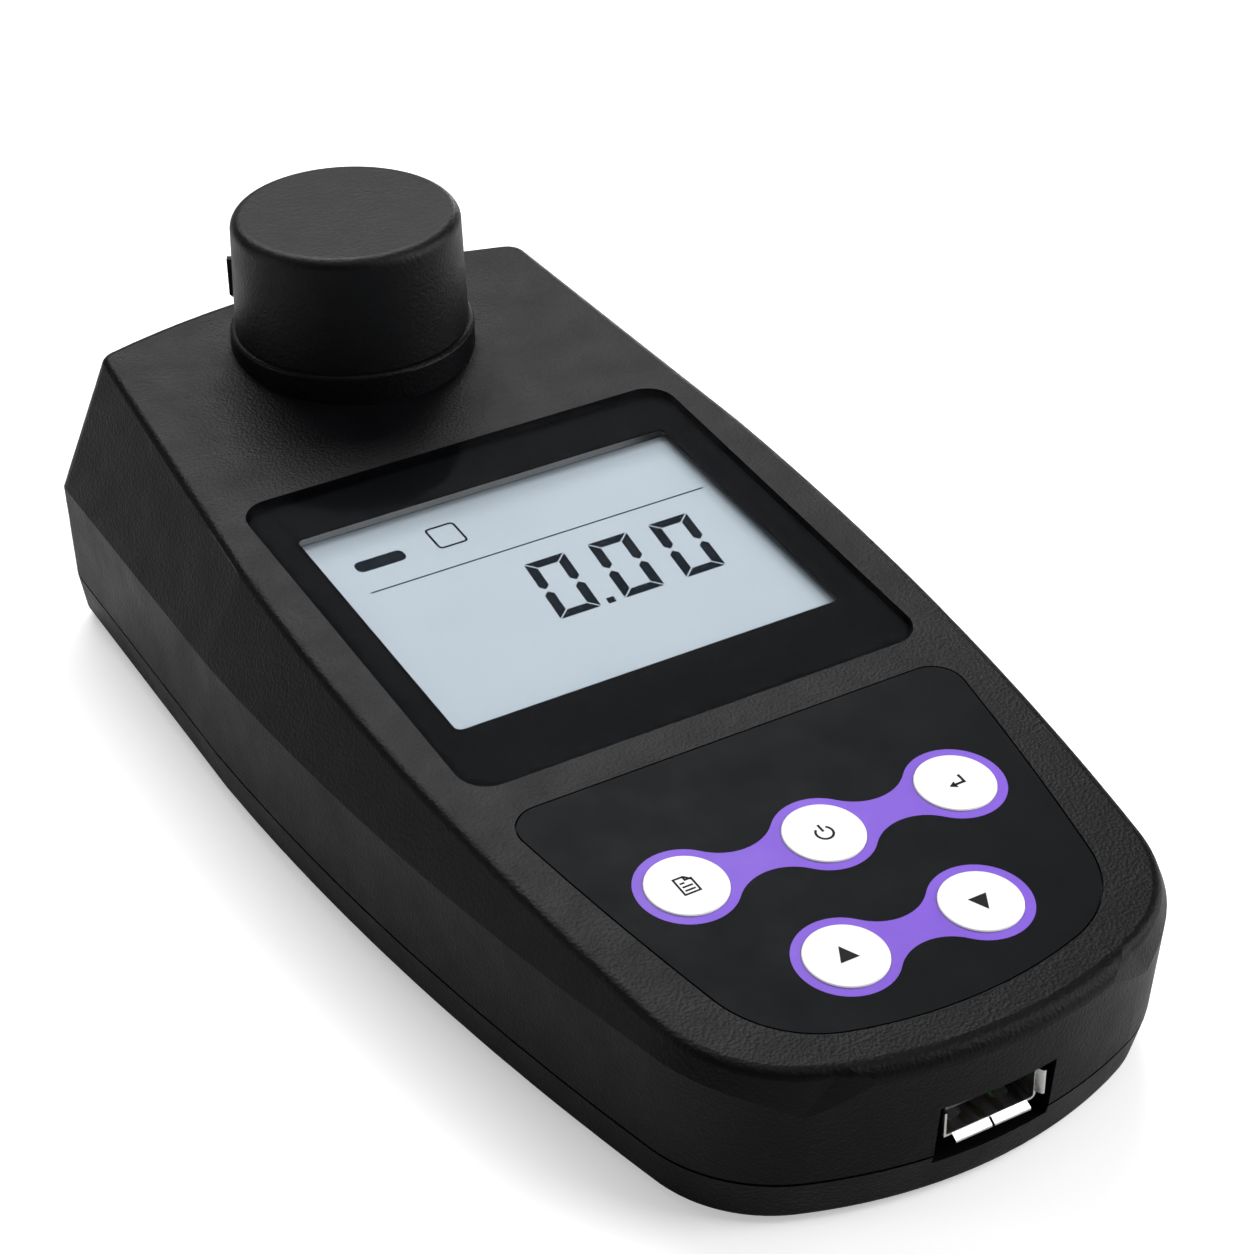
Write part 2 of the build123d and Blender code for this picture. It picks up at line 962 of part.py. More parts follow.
def barrel_end():
    return tube_radius() + optic_barrel_length


def cell_holder():
    tube = rod(tube_radius(), spigot_top_z - floor_top_z(), floor_top_z())
    tube = chamfer(tube.edges().filter_by(GeomType.CIRCLE).sort_by(Axis.Z)[-1], spigot_edge)
    tube = Pos(0, well_y, 0) * tube
    start = well_radius() + well_bite
    for side in (emitter_side, detector_side):
        tube = tube + side(barrel(optic_barrel_radius, start, barrel_end() - start))
    for x, y in ear_places():
        ear = Pos(x, y, ear_z) * rod(ear_radius, ear_thickness)
        angle = math.degrees(math.atan2(y - well_y, x))
        arm = Rot(0, 0, angle) * box_between(
            (start, -ear_radius, ear_z), (ear_distance, ear_radius, ear_z + ear_thickness)
        )
        hole = Pos(x, y, ear_z - 1) * rod(chamber_screw_radius + slip, ear_thickness + 2)
        tube = tube + ear + Pos(0, well_y, 0) * arm - hole
    well = Pos(0, well_y, 0) * rod(well_radius(), spigot_top_z, well_floor_z)
    for side in (emitter_side, detector_side):
        port = barrel(light_port_radius, 0, barrel_end())
        pocket = barrel(lamp_radius + lamp_clearance, tube_radius(), optic_barrel_length + 1)
        tube = tube - side(port) - side(pocket)
    return tube - well


def port_window(side):
    """Clear plug that closes a light port flush with the well."""
    length = tube_radius() - lens_depth() - slip
    return side(barrel(light_port_radius - lamp_clearance / 2, lens_depth(), length))


def port_windows():
    return Compound([port_window(emitter_side), port_window(detector_side)])


def lamp_body():
    tip = Pos(0, -(tube_radius() + slip + lamp_radius), beam_z) * Sphere(lamp_radius)
    start = tube_radius() + slip + lamp_radius
    shank = barrel(lamp_radius, start, barrel_end() - start)
    rim = barrel(lamp_flange_radius, barrel_end(), lamp_flange_thickness)
    return tip + shank + rim


def optic_board_start():
    return barrel_end() + lamp_flange_thickness + optic_board_gap


def lead_pins():
    start = barrel_end() + lamp_flange_thickness
    reach = optic_board_gap + optic_board_thickness + lead_end
    pin = barrel(lead_radius, start, reach)
    return Pos(-lead_pitch / 2, 0, 0) * pin + Pos(lead_pitch / 2, 0, 0) * pin


def emitter_lamp():
    return emitter_side(lamp_body() + lead_pins())


def detector_diode():
    start = tube_radius() + slip
    can = barrel(lamp_radius, start, barrel_end() - start)
    rim = barrel(lamp_flange_radius, barrel_end(), lamp_flange_thickness)
    return detector_side(can + rim + lead_pins())


def optic_board():
    near = -optic_board_start()
    low = (-optic_board_width / 2, near - optic_board_thickness, beam_z - optic_board_height / 2)
    high = (optic_board_width / 2, near, beam_z + optic_board_height / 2)
    plate = box_between(low, high)
    hole = barrel(lead_radius + slip, optic_board_start() - 1, optic_board_thickness + 2)
    return plate - Pos(-lead_pitch / 2, 0, 0) * hole - Pos(lead_pitch / 2, 0, 0) * hole


def emitter_board():
    return emitter_side(optic_board())


def detector_board():
    return detector_side(optic_board())


# Display stack

def display_window():
    plate = deck_slab(window_width, window_length, window_corner, window_v, 0, window_thickness)
    face = plate.faces().sort_by(Axis((0, 0, 0), deck.z_dir))[-1]
    return chamfer(face.edges(), window_chamfer)


def window_mask():
    border = deck_slab(
        window_width - slip, window_length - slip, window_corner, window_v, -window_thickness, mask_thickness
    )
    view = deck_slab(view_width, view_length, view_corner, view_v, 0, 2 * wall)
    return border - view


def lcd_width():
    return view_width + 2 * lcd_margin


def lcd_length():
    return view_length + 2 * lcd_margin


def lcd_glass():
    """Two panes, the upper one shorter so that the lower one shows its contact ledge."""
    half = lcd_thickness / 2
    upper_length = lcd_length() - 2 * zebra_width
    upper = deck_slab(lcd_width(), upper_length, lcd_corner, view_v, -lcd_top(), half)
    lower = deck_slab(lcd_width(), lcd_length(), lcd_corner, view_v, -lcd_top() - half, half)
    return upper + lower


def lcd_frame():
    """Frame that holds the glass and stands on the main board."""
    bottom = main_board_depth
    outer_width = lcd_width() + 2 * lcd_frame_rim
    outer_length = lcd_length() + 2 * lcd_frame_rim
    corner = lcd_corner + lcd_frame_rim
    frame = deck_slab(outer_width, outer_length, corner, view_v, -lcd_top(), bottom - lcd_top())
    glass_width = lcd_width() + 2 * slip
    glass_length = lcd_length() + 2 * slip
    glass_room = deck_slab(glass_width, glass_length, lcd_corner, view_v, 0, lcd_underside() + seat_gap)
    light_room = deck_slab(view_width + slip, light_length() + slip, lcd_corner, view_v, 0, 2 * bottom)
    return frame - glass_room - light_room - zebra_pair(slip / 2, seat_gap)


def zebra_pair(grow, drop):
    """Bars under the two contact ledges of the glass, or the slots in the frame that take them."""
    offset = lcd_length() / 2 - zebra_width / 2 - zebra_inset
    top = -lcd_underside() - drop
    width = lcd_width() - 2 * zebra_width + 2 * grow
    height = main_board_depth + top + 2 * grow
    bars = []
    for side in (-1, 1):
        bars.append(on_deck(0, view_v + side * offset, top) * Box(
            width, zebra_thickness + 2 * grow, height, align=(Align.CENTER, Align.CENTER, Align.MAX)
        ))
    return joined(bars)


def zebra_strips():
    return zebra_pair(0, 0)


def light_length():
    return view_length - 2 * zebra_width - slip


def backlight_panel():
    top = -lcd_underside() - slip
    return deck_slab(view_width, light_length(), lcd_corner, view_v, top, backlight_thickness)


# Boards

def board_slab(half_width, front, back, top, thickness):
    centre = (front + back) / 2
    return on_deck(0, centre, -top) * Box(
        2 * half_width, back - front, thickness, align=(Align.CENTER, Align.CENTER, Align.MAX)
    )


def board_hole_cuts(places, radius):
    return joined(on_deck(x, v, -form_top_z / 2) * rod(radius, form_top_z) for x, v in places)


def main_board():
    plate = board_slab(
        main_board_width / 2, main_board_front, main_board_back, main_board_depth, board_thickness
    )
    return plate - board_hole_cuts(main_boss_places(), board_screw_radius + slip)


def keypad_board():
    wide = board_slab(
        keypad_board_half_width, keypad_board_neck_v, keypad_board_back,
        keypad_board_top(), keypad_board_thickness,
    )
    neck = board_slab(
        keypad_board_neck_half_width, keypad_board_front, keypad_board_neck_v,
        keypad_board_top(), keypad_board_thickness,
    )
    return wide + neck - board_hole_cuts(keypad_boss_places(), board_screw_radius + slip)


def board_components():
    """Packages on the underside of the main board, clear of the battery bay."""
    under = main_board_depth + board_thickness
    parts = []
    for (u, v), (width, length, height) in chip_sizes.items():
        parts.append(on_deck(u, v, -under) * Box(
            width, length, height, align=(Align.CENTER, Align.CENTER, Align.MAX)
        ))
    for place in can_places:
        parts.append(on_deck(*place, -under) * drop_rod(can_radius, can_height))
    return Compound(parts)


def usb_board():
    front = socket_board_front()
    plate = box_between(
        (-socket_board_width / 2, front, socket_board_underside()),
        (socket_board_width / 2, front + socket_board_length, socket_board_top()),
    )
    holes = joined(Pos(x, y, 0) * rod(board_screw_radius + slip, crease_z) for x, y in socket_post_places())
    return plate - holes


# Keys

def make_key(u, v):
    """Round key face with a flange behind the overlay and a stem over its dome."""
    low = -key_flange_underside()
    face = rod(key_radius, key_proud - low, low)
    face = chamfer(face.edges().filter_by(GeomType.CIRCLE).sort_by(Axis.Z)[-1], key_edge)
    flange = rod(key_flange_radius, key_flange_thickness, low)
    stem = drop_rod(key_stem_radius, key_stem_length, low)
    return on_deck(u, v) * (face + flange + stem)


def keypad_overlay():
    panel = keypad_slab(0, 0, overlay_thickness)
    return panel - at_keys(drop_rod(key_radius + key_clearance, 2 * wall, wall))


def key_domes():
    """Snap domes on the keypad board, one under each stem."""
    sphere_radius = (dome_radius ** 2 + dome_height ** 2) / (2 * dome_height)
    ball = Pos(0, 0, dome_height - sphere_radius) * Sphere(sphere_radius)
    dome = ball & rod(dome_radius, dome_height + 1)
    domes = [on_deck(u, v, -keypad_board_top()) * dome for u, v in key_places().values()]
    return Compound(domes)


# Socket

def flare(width, reach):
    """Lip that leans out of the socket's mouth, before it is turned to its side."""
    run = reach * math.cos(math.radians(flare_angle))
    rise = reach * math.sin(math.radians(flare_angle))
    root = socket_sheet / 2
    profile = make_face(Polyline(
        (root, 0), (-run, -rise), (-run, socket_sheet - rise), (root, socket_sheet), close=True
    ))
    return extrude(Plane.YZ * profile, width / 2, both=True)


def socket_flares():
    """Two lips below, one at each side and a short one on top."""
    half_height = socket_height / 2
    half_width = socket_width / 2
    lower_width = half_width - flare_corner_gap - flare_split / 2
    lips = []
    for side in (-1, 1):
        x = side * (lower_width + flare_split) / 2
        lips.append(Pos(x, 0, -half_height) * flare(lower_width, flare_length))
        turned = Rot(0, -90 * side, 0) * flare(socket_height - 2 * flare_side_gap, flare_length)
        lips.append(Pos(side * half_width, 0, 0) * turned)
    top_width = socket_width - 2 * flare_corner_gap
    lips.append(Pos(0, 0, half_height) * (Rot(0, 180, 0) * flare(top_width, flare_length / 2)))
    return joined(lips)


def spring_finger(x):
    """Sprung strip bent up from the socket's floor."""
    low = -socket_height / 2
    peak_y = finger_start + finger_length * finger_peak
    end = finger_start + finger_length
    profile = make_face(Polyline(
        (finger_start, low),
        (peak_y, low + finger_rise),
        (end, low),
        (end, low + socket_sheet),
        (peak_y, low + finger_rise + socket_sheet),
        (finger_start, low + socket_sheet),
        close=True,
    ))
    return Pos(x, 0, 0) * extrude(Plane.YZ * profile, finger_width / 2, both=True)


def finger_window(x):
    """Opening round a finger, which stays joined to the floor at its two ends."""
    low = -socket_height / 2
    half = finger_width / 2 + finger_slot
    start = finger_start + finger_root
    end = finger_start + finger_length - finger_root
    return box_between((x - half, start, low - socket_sheet), (x + half, end, low + 1.1 * socket_sheet))


def in_socket(shape):
    return Pos(0, socket_front_y(), socket_z) * shape


def socket_sleeve(grow, start, end):
    outline = RectangleRounded(socket_width - 2 * grow, socket_height - 2 * grow, socket_corner - grow)
    return Pos(0, start, 0) * (Rot(-90, 0, 0) * extrude(outline, end - start))


def usb_shell():
    sleeve = socket_sleeve(0, 0, socket_length) - socket_sleeve(
        socket_sheet, -1, socket_length - socket_sheet
    )
    for x in (-finger_x, finger_x):
        sleeve = sleeve - finger_window(x) + spring_finger(x)
    return in_socket(sleeve + socket_flares())


def tongue_underside():
    return socket_height / 2 - socket_sheet - tongue_drop - tongue_thickness


def usb_tongue():
    back = socket_length - socket_sheet - slip
    block = box_between(
        (-socket_width / 2 + 2 * socket_sheet, back - tongue_block, -socket_height / 2 + socket_sheet + slip),
        (socket_width / 2 - 2 * socket_sheet, back, socket_height / 2 - socket_sheet - slip),
    )
    blade = box_between(
        (-tongue_width / 2, tongue_setback, tongue_underside()),
        (tongue_width / 2, back, tongue_underside() + tongue_thickness),
    )
    blade = chamfer(blade.edges().group_by(Axis.Y)[0].filter_by(Axis.X), tongue_edge)
    return in_socket(block + blade - contact_bars(slip / 4))


def contact_bars(grow):
    """Contacts let into the tongue's underside, or the grooves that take them."""
    low = tongue_underside()
    start = tongue_setback + contact_setback
    end = start + contact_length
    half = contact_width / 2 + grow
    bars = []
    for x in contact_places:
        far = (x + half, end + grow, low + contact_thickness + grow)
        bars.append(box_between((x - half, start - grow, low), far))
    return joined(bars)


def usb_contacts():
    return in_socket(contact_bars(0))


# Fasteners and feet

def screw(shank, shank_length, head, head_height):
    """Screw that points up, with its flat head below z 0."""
    return rod(shank, shank_length) + drop_rod(head, head_height)


def cross_recess(head, head_height):
    slot = box_between(
        (-head * recess_reach, -recess_width / 2, -head_height - 1),
        (head * recess_reach, recess_width / 2, -head_height / 2),
    )
    return slot + Rot(0, 0, 90) * slot


def housing_screws():
    length = case_split_z - case_screw_seat_z + case_screw_grip - screw_tip_room
    piece = screw(case_screw_radius, length, case_screw_head, case_screw_head_height)
    piece = piece - cross_recess(case_screw_head, case_screw_head_height)
    return Compound([Pos(x, y, case_screw_seat_z) * piece for x, y in case_screw_places])


def chamber_screws():
    length = ear_thickness + chamber_screw_grip - screw_tip_room
    piece = screw(chamber_screw_radius, length, chamber_screw_head, chamber_screw_head_height)
    return Compound([Pos(x, y, ear_z) * piece for x, y in ear_places()])


def board_screw(length):
    return screw(board_screw_radius, length, board_screw_head, board_screw_head_height)


def board_screws():
    main = board_screw(board_thickness + board_screw_grip - screw_tip_room)
    keypad = board_screw(keypad_board_thickness + keypad_board_top() - wall - screw_tip_room)
    socket = Rot(180, 0, 0) * board_screw(socket_board_thickness + socket_screw_grip() - screw_tip_room)
    main_low = -main_board_depth - board_thickness
    keypad_low = -keypad_board_top() - keypad_board_thickness
    screws = [on_deck(x, v, main_low) * main for x, v in main_boss_places()]
    screws += [on_deck(x, v, keypad_low) * keypad for x, v in keypad_boss_places()]
    screws += [Pos(x, y, socket_board_top()) * socket for x, y in socket_post_places()]
    return Compound(screws)


def rubber_feet():
    foot = rod(foot_radius, foot_stand + foot_recess)
    foot = chamfer(foot.edges().filter_by(GeomType.CIRCLE).sort_by(Axis.Z)[0], foot_edge)
    return Compound([Pos(x, y, 0) * foot for x, y in foot_places])


# Cables

def keypad_ribbon():
    """Flat cable between the keypad board and the main board, bonded under an end of each."""
    start = -keypad_board_top() - keypad_board_thickness
    end = -main_board_depth - board_thickness
    front = keypad_board_back - ribbon_lap
    bend = keypad_board_back + ribbon_lap
    landing = main_board_front - ribbon_lap
    back = main_board_front + ribbon_lap
    strip = make_face(Polyline(
        (front, start), (bend, start), (landing, end), (back, end),
        (back, end - ribbon_thickness), (landing - ribbon_thickness, end - ribbon_thickness),
        (bend - ribbon_thickness, start - ribbon_thickness), (front, start - ribbon_thickness),
        close=True,
    ))
    return deck.location * (Plane.YZ * extrude(strip, ribbon_width / 2, both=True))


PARTS = {
    "upper_housing": upper_housing,
    "lower_housing": lower_housing,
    "battery_door": battery_door,
    "light_shield_cap": light_shield_cap,
    "cell_holder": cell_holder,
    "port_windows": port_windows,
    "emitter_lamp": emitter_lamp,
    "emitter_board": emitter_board,
    "detector_diode": detector_diode,
    "detector_board": detector_board,
    "display_window": display_window,
    "window_mask": window_mask,
    "lcd_glass": lcd_glass,
    "lcd_frame": lcd_frame,
    "backlight_panel": backlight_panel,
    "zebra_strips": zebra_strips,
    "main_board": main_board,
    "board_components": board_components,
    "keypad_overlay": keypad_overlay,
    "keypad_board": keypad_board,
    "key_domes": key_domes,
    "keypad_ribbon": keypad_ribbon,
    "usb_board": usb_board,
    "usb_shell": usb_shell,
    "usb_tongue": usb_tongue,
    "usb_contacts": usb_contacts,
    "battery_cells": battery_cells,
    "battery_springs": battery_springs,
    "battery_contacts": contact_plates,
    "housing_screws": housing_screws,
    "chamber_screws": chamber_screws,
    "board_screws": board_screws,
    "rubber_feet": rubber_feet,
}


def build_all():
    os.makedirs("parts", exist_ok=True)
    for name, make in PARTS.items():
        export_step(make(), os.path.join("parts", name + ".step"))
    for name, (u, v) in key_places().items():
        export_step(make_key(u, v), os.path.join("parts", name + ".step"))


build_all()
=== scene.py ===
import json
import math

import bpy
from mathutils import Matrix, Quaternion, Vector


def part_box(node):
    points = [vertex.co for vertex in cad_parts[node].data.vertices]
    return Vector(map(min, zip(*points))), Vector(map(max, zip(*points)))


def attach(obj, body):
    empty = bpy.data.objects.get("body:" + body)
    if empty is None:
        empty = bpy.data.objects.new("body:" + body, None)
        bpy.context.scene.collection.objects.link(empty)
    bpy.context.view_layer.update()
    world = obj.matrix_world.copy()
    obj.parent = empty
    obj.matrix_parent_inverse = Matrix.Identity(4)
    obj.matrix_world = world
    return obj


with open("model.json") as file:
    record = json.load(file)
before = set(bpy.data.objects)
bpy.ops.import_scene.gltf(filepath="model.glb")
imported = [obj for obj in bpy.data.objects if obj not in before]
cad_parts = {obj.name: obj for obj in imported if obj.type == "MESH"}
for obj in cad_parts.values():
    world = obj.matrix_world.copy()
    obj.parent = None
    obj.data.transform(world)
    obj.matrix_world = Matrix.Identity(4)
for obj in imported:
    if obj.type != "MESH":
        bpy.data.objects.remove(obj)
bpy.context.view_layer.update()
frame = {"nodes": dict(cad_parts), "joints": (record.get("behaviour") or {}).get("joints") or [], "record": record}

MM = 0.001

# The photograph's viewpoint, in metres and degrees
CAMERA_PLACE = (-0.1679, -0.2913, 0.2475)
CAMERA_AZIMUTH = -30.58
CAMERA_ELEVATION = 33.18
CAMERA_ROLL = -0.72
CAMERA_LENS = 87.5

# Light
WORLD_FILL = 0.13
FLOOR_SIZE = 8.0
FLOOR_COLOUR = 0.80
FLOOR_LIFT = 0.42
FLOOR_FAR_LIFT = 0.60
FLOOR_FADE = (0.3, 1.2)
FLOOR_DROP = 0.0001
LAMP_TARGET = (0, 0, 0.03)

# Each lamp's place, size and power
LAMPS = {
    "top_light": ((0.25, 0.75, 0.95), (0.9, 0.6), 15.0),
    "overhead_light": ((-0.1, -0.1, 1.3), (0.8, 0.8), 2.5),
    "left_light": ((-0.95, 0.35, 0.30), (0.18, 0.55), 1.6),
    "right_light": ((0.85, -0.45, 0.30), (0.80, 0.50), 7.0),
    "front_light": ((0.45, -0.55, 0.75), (0.40, 0.40), 3.5),
    "rim_light": ((0.70, 0.80, 0.12), (0.15, 0.30), 1.5),
}

# Borders of the window's clear view, in millimetres
WINDOW_BORDER_SIDE = 4.6
WINDOW_BORDER_BACK = 8.6

# Clear plates
PLATE_IOR = 1.45
PLATE_ROUGHNESS = 0.03

# Painted shade of the window's border on the display, and bands on a battery cell, in millimetres
PAINTED_SHADE_RIGHT = 2.6
PAINTED_SHADE_BACK = 6.0
CELL_BARE_END = 1.6
CELL_END_BAND = 9.0

# Marks on the display, in millimetres across and up the deck
DIGIT_WIDTH = 6.15
DIGIT_HEIGHT = 12.6
DIGIT_SLANT = 1.5 / DIGIT_HEIGHT
DIGIT_STROKE = 1.45
DIGIT_GAP = 0.16
DIGIT_FEET = (-5.2, 4.6, 14.2)
DIGIT_FOOT_V = 0.75
POINT_PLACE = (2.75, 1.25)
POINT_SIZE = 1.15
RULE_ENDS = (-24.5, 27.1)
RULE_V = 17.4
RULE_WIDTH = 0.22
BADGE_PLACE = (-20.2, 23.1)
BADGE_SIZE = (7.3, 2.35)
ICON_PLACE = (-9.65, 24.15)
ICON_SIZE = (4.5, 4.9)
ICON_CORNER = 0.7
ICON_STROKE = 0.32

# Print round the keys, in millimetres
BAND_RING = 6.45
BAND_NECK = 2.3
BAND_HOLE = 5.22
FACE_DEPTH = 0.02
MARK_THICKNESS = 0.02
MARK_LIFT = 0.004


# Where things are, from the frame

def deck_normal():
    for joint in frame["joints"]:
        if joint["name"] == "key_power_press":
            return -Vector(joint["axis"]).normalized()
    raise RuntimeError("the keys' joint is missing")


def points_of(node):
    return [vertex.co.copy() for vertex in frame["nodes"][node].data.vertices]


DECK_W = deck_normal()
DECK_U = Vector((1, 0, 0))
DECK_V = DECK_W.cross(DECK_U)
DECK_TOP = max(point.dot(DECK_W) for point in points_of("keypad_overlay"))
DECK_ORIGIN = Vector((0, 0, DECK_TOP / DECK_W.z))


def deck_matrix(u=0.0, v=0.0, w=0.0):
    """Placement of a flat shape on the deck, u, v and w in millimetres."""
    place = DECK_ORIGIN + (DECK_U * u + DECK_V * v + DECK_W * w) * MM
    columns = Matrix((DECK_U, DECK_V, DECK_W)).transposed().to_4x4()
    return Matrix.Translation(place) @ columns


def on_deck(point):
    offset = (point - DECK_ORIGIN) / MM
    return Vector((offset.dot(DECK_U), offset.dot(DECK_V), offset.dot(DECK_W)))


def deck_extent(node):
    """Lowest and highest deck coordinates of a node, in millimetres."""
    found = [on_deck(point) for point in points_of(node)]
    low = Vector([min(point[axis] for point in found) for axis in range(3)])
    high = Vector([max(point[axis] for point in found) for axis in range(3)])
    return low, high


def key_top(node):
    """Centre of a key's face and its height over the deck."""
    low, high = deck_extent(node)
    face = [on_deck(point) for point in points_of(node)]
    face = [point for point in face if point.z > high.z - FACE_DEPTH]
    u = (min(point.x for point in face) + max(point.x for point in face)) / 2
    v = (min(point.y for point in face) + max(point.y for point in face)) / 2
    return u, v, high.z


# Materials

def material(name):
    made = bpy.data.materials.new(name)
    made.use_nodes = True
    return made


def node(tree, kind, **values):
    made = tree.nodes.new(kind)
    for name, value in values.items():
        if name in made.bl_rna.properties:
            setattr(made, name, value)
        else:
            made.inputs[name.replace("_", " ")].default_value = value
    return made


def principled(made):
    return next(item for item in made.node_tree.nodes if item.type == "BSDF_PRINCIPLED")


def set_inputs(shader, **values):
    for name, value in values.items():
        shader.inputs[name.replace("_", " ")].default_value = value


def coordinates(tree):
    return node(tree, "ShaderNodeTexCoord").outputs["Object"]


def noise(tree, where, size, detail=3.0):
    """Noise whose features are about size millimetres across."""
    made = node(tree, "ShaderNodeTexNoise", Scale=1.0 / (size * MM), Detail=detail, Roughness=0.55)
    tree.links.new(where, made.inputs["Vector"])
    return made.outputs["Fac"]


def cells(tree, where, size):
    made = node(tree, "ShaderNodeTexVoronoi", feature="SMOOTH_F1", Scale=1.0 / (size * MM), Smoothness=0.35)
    tree.links.new(where, made.inputs["Vector"])
    return made.outputs["Distance"]


def spread(tree, value, low, high, from_low=0.3, from_high=0.7):
    made = node(tree, "ShaderNodeMapRange")
    for socket, number in zip(made.inputs[1:5], (from_low, from_high, low, high)):
        socket.default_value = number
    tree.links.new(value, made.inputs["Value"])
    return made.outputs["Result"]


def tint(tree, factor, first, second):
    made = node(tree, "ShaderNodeMix", data_type="RGBA")
    made.inputs[6].default_value = (*first, 1)
    made.inputs[7].default_value = (*second, 1)
    tree.links.new(factor, made.inputs["Factor"])
    return made.outputs[2]


def maths(tree, operation, first, second):
    made = node(tree, "ShaderNodeMath", operation=operation)
    for socket, value in zip(made.inputs, (first, second)):
        if isinstance(value, (int, float)):
            socket.default_value = value
        else:
            tree.links.new(value, socket)
    return made.outputs[0]


def bump(tree, height, depth, after=None):
    """Bump whose full height is depth millimetres."""
    made = node(tree, "ShaderNodeBump", Strength=1.0, Distance=depth * MM)
    tree.links.new(height, made.inputs["Height"])
    if after is not None:
        tree.links.new(after, made.inputs["Normal"])
    return made.outputs["Normal"]


def scaled(colour, factor):
    return tuple(channel * factor for channel in colour)


def moulded(name, colour, roughness, grain=0.6, depth=0.02, shine=0.3, mottle=0.12, polish=0.05):
    """Moulded plastic or rubber: pebbled grain, faint mottling and handling polish."""
    made = material(name)
    tree = made.node_tree
    shader = principled(made)
    where = coordinates(tree)
    patches = noise(tree, where, 14.0)
    set_inputs(shader, Specular_IOR_Level=shine)
    pale = tint(tree, spread(tree, patches, 0, 1), scaled(colour, 1 - mottle), scaled(colour, 1 + mottle))
    tree.links.new(pale, shader.inputs["Base Color"])
    rub = noise(tree, where, 6.0, detail=4)
    tree.links.new(spread(tree, rub, roughness - polish, roughness + polish), shader.inputs["Roughness"])
    pebbles = cells(tree, where, grain)
    fine = noise(tree, where, grain / 3)
    first = bump(tree, pebbles, depth)
    tree.links.new(bump(tree, fine, depth / 2, after=first), shader.inputs["Normal"])
    return made


def metal(name, colour, roughness):
    """Plated or drawn metal with fine rolling marks."""
    made = material(name)
    tree = made.node_tree
    shader = principled(made)
    set_inputs(shader, Metallic=1.0)
    where = coordinates(tree)
    stretch = node(tree, "ShaderNodeMapping", Scale=(1, 0.06, 1))
    tree.links.new(where, stretch.inputs["Vector"])
    marks = noise(tree, stretch.outputs["Vector"], 0.25, detail=5)
    tarnish = noise(tree, where, 3.0)
    tree.links.new(tint(tree, tarnish, scaled(colour, 0.9), colour), shader.inputs["Base Color"])
    tree.links.new(spread(tree, marks, roughness * 0.7, roughness * 1.4), shader.inputs["Roughness"])
    tree.links.new(bump(tree, marks, 0.004), shader.inputs["Normal"])
    return made


def clear(name, tone, shine):
    """Clear plate: see-through straight ahead, with a thin coat of reflection and faint smears."""
    made = material(name)
    tree = made.node_tree
    tree.nodes.remove(principled(made))
    where = coordinates(tree)
    through = node(tree, "ShaderNodeBsdfTransparent")
    smears = noise(tree, where, 9.0, detail=5)
    tree.links.new(tint(tree, smears, scaled(tone, 0.97), tone), through.inputs["Color"])
    gloss = node(tree, "ShaderNodeBsdfGlossy")
    tree.links.new(spread(tree, smears, PLATE_ROUGHNESS, PLATE_ROUGHNESS * 2), gloss.inputs["Roughness"])
    tree.links.new(bump(tree, smears, 0.0005), gloss.inputs["Normal"])
    edge = node(tree, "ShaderNodeFresnel", IOR=PLATE_IOR)
    inside = node(tree, "ShaderNodeNewGeometry").outputs["Backfacing"]
    front = maths(tree, "SUBTRACT", 1.0, inside)
    share = maths(tree, "MULTIPLY", maths(tree, "MULTIPLY", edge.outputs["Fac"], shine), front)
    choice = node(tree, "ShaderNodeMixShader")
    output = next(item for item in tree.nodes if item.type == "OUTPUT_MATERIAL")
    tree.links.new(share, choice.inputs["Fac"])
    tree.links.new(through.outputs["BSDF"], choice.inputs[1])
    tree.links.new(gloss.outputs["BSDF"], choice.inputs[2])
    tree.links.new(choice.outputs["Shader"], output.inputs["Surface"])
    return made


def printed_board(name):
    """Solder resist with faint copper runs under it."""
    made = material(name)
    tree = made.node_tree
    shader = principled(made)
    set_inputs(shader, Specular_IOR_Level=0.5)
    where = coordinates(tree)
    runs = node(tree, "ShaderNodeTexBrick", Scale=220.0, Mortar_Size=0.06)
    tree.links.new(where, runs.inputs["Vector"])
    green = tint(tree, runs.outputs["Fac"], (0.010, 0.085, 0.035), (0.022, 0.14, 0.06))
    tree.links.new(green, shader.inputs["Base Color"])
    sheen = noise(tree, where, 2.0)
    tree.links.new(spread(tree, sheen, 0.25, 0.4), shader.inputs["Roughness"])
    tree.links.new(bump(tree, runs.outputs["Fac"], 0.03), shader.inputs["Normal"])
    return made


def deck_axis(tree, direction):
    """Distance along a deck direction, in millimetres."""
    where = node(tree, "ShaderNodeVectorMath", operation="SUBTRACT")
    tree.links.new(coordinates(tree), where.inputs[0])
    where.inputs[1].default_value = DECK_ORIGIN
    along = node(tree, "ShaderNodeVectorMath", operation="DOT_PRODUCT")
    tree.links.new(where.outputs["Vector"], along.inputs[0])
    along.inputs[1].default_value = direction / MM
    return along.outputs["Value"]


